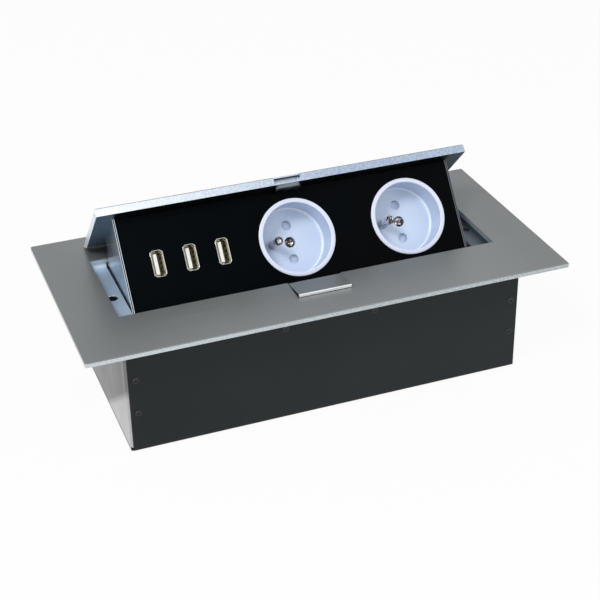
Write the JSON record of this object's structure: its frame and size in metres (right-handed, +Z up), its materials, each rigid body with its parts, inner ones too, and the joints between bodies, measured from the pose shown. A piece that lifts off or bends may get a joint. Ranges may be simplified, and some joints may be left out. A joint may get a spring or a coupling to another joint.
{
  "type": "in-desk power module",
  "caption": "Flush desk frame over a steel box, with a tip-up lid that carries round sockets and USB charging ports, and a release tab.",
  "frame": {"origin": "under the middle of the frame plate, on the box's floor", "axes": "+X along the frame's length, +Y from the front border to the rear border, +Z up"},
  "size_m": [0.265, 0.13, 0.1095],
  "materials": {
    "brushed_frame": "satin brushed",
    "black_shell": "satin black powder coat",
    "bright_ends": "bright zinc",
    "mirror_cheeks": "polished",
    "gloss_black": "gloss",
    "black_cover": "satin",
    "white_socket": "gloss",
    "socket_block": "matt",
    "nickel": "bright nickel",
    "white_tongue": "matt",
    "gilt": "gilt",
    "dark_screws": "black zinc",
    "dark_strike": "blackened steel",
    "bright_steel": "zinc",
    "spring_steel": "bright wire",
    "nylon": "matt",
    "soft_black": "matt",
    "green_board": "satin",
    "winding": "satin",
    "can": "sleeved"
  },
  "bodies": {
    "housing": {"frame_plate": "brushed_frame", "housing_shell": "black_shell", "end_plate_left": "bright_ends", "end_plate_right": "bright_ends", "shell_screws": "dark_screws", "ledge_screws": "dark_screws", "cable_grommet": "soft_black", "earth_stud": "bright_steel", "earth_nut": "bright_steel", "pivot_pin_left": "bright_steel", "pivot_pin_right": "bright_steel", "pivot_clip_left": "bright_steel", "pivot_clip_right": "bright_steel", "torsion_spring_left": "spring_steel", "torsion_spring_right": "spring_steel", "tab_bracket": "bright_steel", "bracket_screws": "dark_screws", "tab_pin": "bright_steel", "latch_leaf": "dark_strike"},
    "lid": {"lid_plate": "brushed_frame", "lid_screws": "dark_screws", "strike_plate": "dark_strike", "strike_screws": "dark_screws", "socket_panel": "gloss_black", "rear_cover": "black_cover", "cover_grommet": "soft_black", "cheek_left": "mirror_cheeks", "cheek_right": "mirror_cheeks", "pivot_bush_left": "nylon", "pivot_bush_right": "nylon", "usb_shell_1": "nickel", "usb_shell_2": "nickel", "usb_shell_3": "nickel", "usb_tongue_1": "white_tongue", "usb_tongue_2": "white_tongue", "usb_tongue_3": "white_tongue", "usb_contacts": "gilt", "usb_board": "green_board", "board_screws": "dark_screws", "usb_transformer": "winding", "usb_capacitors": "can", "socket_insert_left": "white_socket", "socket_base_left": "socket_block", "contact_sleeves_left": "gilt", "earth_pin_left": "nickel", "centre_screw_left": "dark_screws", "shutter_spring_left": "spring_steel", "socket_insert_right": "white_socket", "socket_base_right": "socket_block", "contact_sleeves_right": "gilt", "earth_pin_right": "nickel", "centre_screw_right": "dark_screws", "shutter_spring_right": "spring_steel"},
    "release_tab": {"release_tab": "brushed_frame"},
    "shutter_left": {"shutter_left": "white_socket"},
    "shutter_right": {"shutter_right": "white_socket"}
  },
  "joints": [
    {"name": "lid_hinge", "type": "hinge", "parent": "housing", "child": "lid", "pos_m": [0, 0.043, 0.0414], "axis": [1, 0, 0], "range_deg": [0, 45.5], "stiffness_Nm_per_rad": 0.25, "springref_deg": -101.41, "deforming": ["torsion_spring_left", "torsion_spring_right", "latch_leaf"]},
    {"name": "tab_hinge", "type": "hinge", "parent": "housing", "child": "release_tab", "pos_m": [0, -0.0318, 0.064], "axis": [-1, 0, 0], "range_deg": [0, 16], "stiffness_Nm_per_rad": 0.04, "springref_deg": -8.59, "deforming": ["latch_leaf"]},
    {"name": "shutter_slide_left", "type": "slide", "parent": "lid", "child": "shutter_left", "axis": [1, 0, 0], "range_m": [0, 0.0054], "stiffness_N_per_m": 40, "springref_m": -0.003, "deforming": ["shutter_spring_left"]},
    {"name": "shutter_slide_right", "type": "slide", "parent": "lid", "child": "shutter_right", "axis": [1, 0, 0], "range_m": [0, 0.0054], "stiffness_N_per_m": 40, "springref_m": -0.003, "deforming": ["shutter_spring_right"]}
  ]
}
